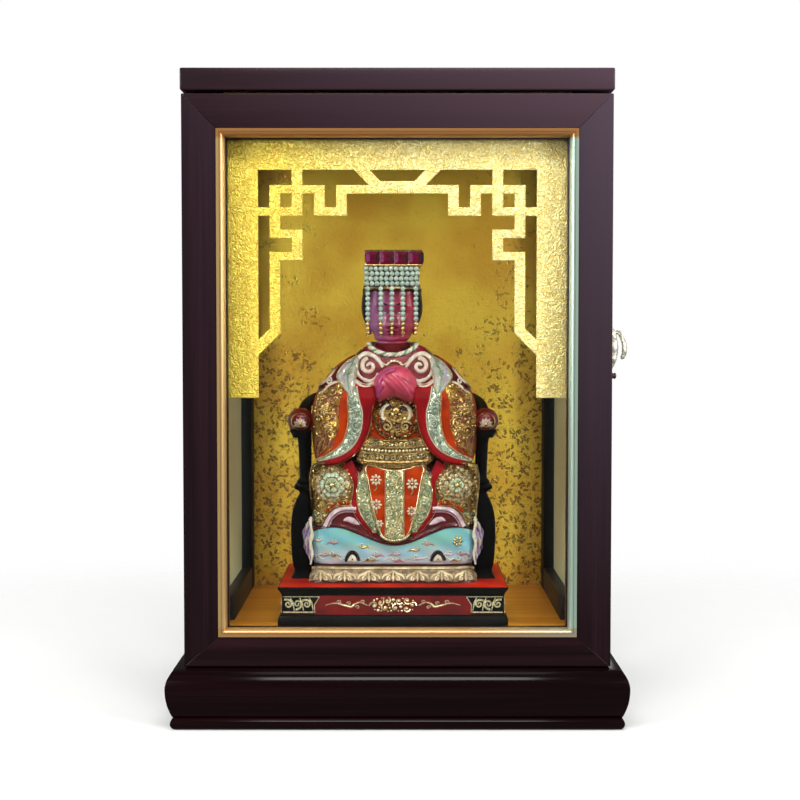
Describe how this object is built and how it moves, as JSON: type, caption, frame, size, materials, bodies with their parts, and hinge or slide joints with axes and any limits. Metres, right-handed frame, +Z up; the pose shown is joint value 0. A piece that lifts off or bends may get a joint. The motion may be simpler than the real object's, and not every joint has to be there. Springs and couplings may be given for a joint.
{
  "type": "glazed table shrine cabinet",
  "caption": "Dark hardwood shrine case on a moulded plinth, with a glazed hinged door, side panes, gold fretwork valance and a seated robed figure on a throne.",
  "frame": {"origin": "middle of the footprint, on the ground under the base board", "axes": "+Z up, the glazed door faces -Y, +X to the right as the door is faced from the front"},
  "size_m": [0.422, 0.298, 0.6],
  "materials": {
    "rosewood_gloss": "dark stained hardwood under high gloss lacquer",
    "rosewood": "dark stained hardwood, satin lacquer",
    "gold_lining": "gold paper with small brown floral sprays",
    "side_glass": "clear glass with a green edge",
    "door_glass": "clear glass",
    "gold_fret": "board faced with embossed gold leaf",
    "hinge_brass": "plain brass",
    "pull_brass": "pale cast brass",
    "gilt_bead": "polished gilt moulding",
    "stand_lacquer": "black and red lacquer with gilt scrolls",
    "throne_lacquer": "black lacquer",
    "robe_paint": "carved wood, painted red and orange with raised gilt work",
    "hand_paint": "carved wood, painted rose pink",
    "face_paint": "carved wood, painted",
    "crown_gilt": "carved wood, gilt, with set stones"
  },
  "bodies": {
    "cabinet": {"base_board": "rosewood_gloss", "plinth_front": "rosewood_gloss", "plinth_left": "rosewood_gloss", "plinth_right": "rosewood_gloss", "plinth_back": "rosewood_gloss", "top_cap": "rosewood_gloss", "front_left_post": "rosewood", "front_right_post": "rosewood", "back_left_post": "rosewood", "back_right_post": "rosewood", "left_bottom_rail": "rosewood", "right_bottom_rail": "rosewood", "left_top_rail": "rosewood", "right_top_rail": "rosewood", "front_sill": "rosewood", "front_head": "rosewood", "floor_board": "rosewood", "back_panel": "rosewood", "back_lining": "gold_lining", "left_side_glass": "side_glass", "right_side_glass": "side_glass", "valance_left": "gold_fret", "valance_right": "gold_fret", "case_hinge_leaves": "hinge_brass", "stand": "stand_lacquer", "throne_seat": "throne_lacquer", "throne_back": "throne_lacquer", "throne_arms": "throne_lacquer", "figure_robe": "robe_paint", "figure_sleeves": "robe_paint", "figure_hands": "hand_paint", "figure_head": "face_paint", "figure_crown": "crown_gilt"},
    "door": {"door_left_stile": "rosewood", "door_right_stile": "rosewood", "door_top_rail": "rosewood", "door_bottom_rail": "rosewood", "door_glass": "door_glass", "bead_left": "gilt_bead", "bead_right": "gilt_bead", "bead_top": "gilt_bead", "bead_bottom": "gilt_bead", "door_hinge_leaves": "hinge_brass", "pull_plate": "pull_brass"},
    "pull": {"pull_drop": "pull_brass"}
  },
  "joints": [
    {"name": "door_hinge", "type": "hinge", "parent": "cabinet", "child": "door", "pos_m": [-0.195, -0.112, 0.317], "axis": [0, 0, -1], "range_deg": [0, 120]},
    {"name": "pull_swing", "type": "hinge", "parent": "door", "child": "pull", "pos_m": [0.2018, -0.123, 0.362], "axis": [0, -1, 0], "range_deg": [0, 80]}
  ]
}
